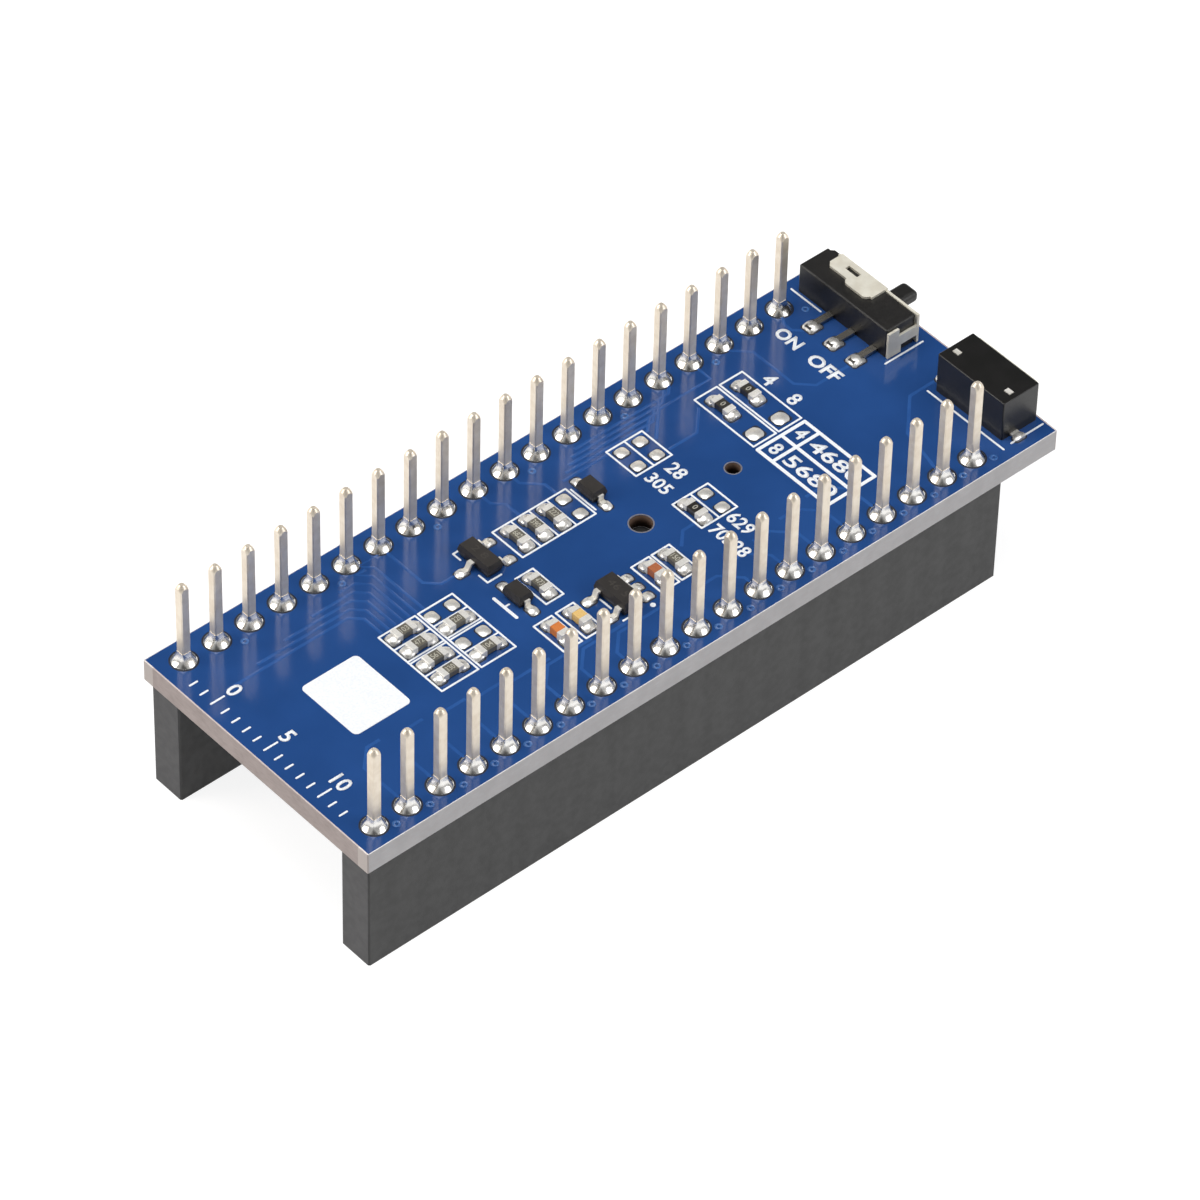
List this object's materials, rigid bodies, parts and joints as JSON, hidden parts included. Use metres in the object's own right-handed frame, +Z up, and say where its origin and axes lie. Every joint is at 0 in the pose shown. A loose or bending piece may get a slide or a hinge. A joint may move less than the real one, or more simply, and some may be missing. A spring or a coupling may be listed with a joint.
{
  "type": "satellite positioning receiver expansion board",
  "caption": "Satellite positioning receiver board on stacking socket headers, with a slide switch and a push button at one end and long pins standing up along both sides.",
  "frame": {"origin": "centre of the two rows of header sockets, on the plane that the socket headers stand on", "axes": "+X along the pin rows towards the end with the switch and the button, +Y from the button's side to the switch's side, +Z up, the way the pins point"},
  "size_m": [0.0565, 0.021, 0.0167],
  "materials": {
    "solder_masked_laminate": "glossy blue solder mask on glass-fibre laminate",
    "header_nylon": "moulded glass-filled nylon, satin",
    "tinned_contact": "tin-plated brass",
    "solder": "bright solidified solder",
    "switch_black": "moulded, glossy",
    "plated_sheet": "stamped and nickel-plated sheet",
    "button_black": "moulded, satin",
    "resistor_black": "glazed",
    "chip_termination": "tinned",
    "capacitor_orange": "fired, satin",
    "capacitor_tan": "fired, satin",
    "capacitor_brown": "fired, satin",
    "package_epoxy": "moulded epoxy",
    "module_laminate": "matt solder mask",
    "shield_can": "drawn nickel silver",
    "holder_black": "moulded, heat-resistant",
    "cell_steel": "drawn stainless steel",
    "gold_plated": "gold-plated brass",
    "white_insulator": "moulded",
    "lamp_base": "white",
    "lamp_lens": "clear resin over phosphor"
  },
  "bodies": {
    "board_assembly": {"circuit_board": "solder_masked_laminate", "socket_header_near": "header_nylon", "socket_header_far": "header_nylon", "header_pins_near": "tinned_contact", "header_pins_far": "tinned_contact", "pin_solder_joints_near": "solder", "pin_solder_joints_far": "solder", "slide_switch_housing": "switch_black", "slide_switch_cover": "plated_sheet", "slide_switch_terminals": "plated_sheet", "push_button_housing": "button_black", "push_button_front_plate": "plated_sheet", "push_button_terminals": "plated_sheet", "push_button_snap_dome": "plated_sheet", "switch_and_button_solder": "solder", "chip_resistor_bodies": "resistor_black", "chip_resistor_end_caps": "chip_termination", "jumper_link_bodies": "resistor_black", "jumper_link_end_caps": "chip_termination", "input_capacitor_body": "capacitor_orange", "bypass_capacitor_body": "capacitor_tan", "output_capacitor_body": "capacitor_brown", "capacitor_end_caps": "chip_termination", "tinned_pads": "solder", "surface_solder": "solder", "transistor_body": "package_epoxy", "transistor_leads": "plated_sheet", "regulator_body": "package_epoxy", "regulator_leads": "plated_sheet", "diode_bodies": "package_epoxy", "diode_leads": "plated_sheet", "receiver_module_board": "module_laminate", "receiver_module_edge_contacts": "solder", "receiver_module_shield": "shield_can", "coin_cell_holder": "holder_black", "coin_cell_positive_contact": "plated_sheet", "coin_cell_negative_contact": "plated_sheet", "coin_cell": "cell_steel", "antenna_connector_shell": "gold_plated", "antenna_connector_base": "white_insulator", "antenna_connector_pin": "gold_plated", "status_lamp_bases": "lamp_base", "status_lamp_lenses": "lamp_lens", "underside_chip_bodies": "resistor_black", "underside_chip_end_caps": "chip_termination", "underside_chip_solder": "solder", "antenna_amplifier": "package_epoxy"},
    "switch_lever": {"slide_switch_lever": "switch_black", "slide_switch_contact_bridge": "gold_plated"},
    "button_plunger": {"push_button_plunger": "button_black"}
  },
  "joints": [
    {"name": "switch_slide", "type": "slide", "parent": "board_assembly", "child": "switch_lever", "axis": [0, 1, 0], "range_m": [0, 0.002]},
    {"name": "button_press", "type": "slide", "parent": "board_assembly", "child": "button_plunger", "axis": [-1, 0, 0], "range_m": [0, 0.00025], "stiffness_N_per_m": 4000}
  ]
}
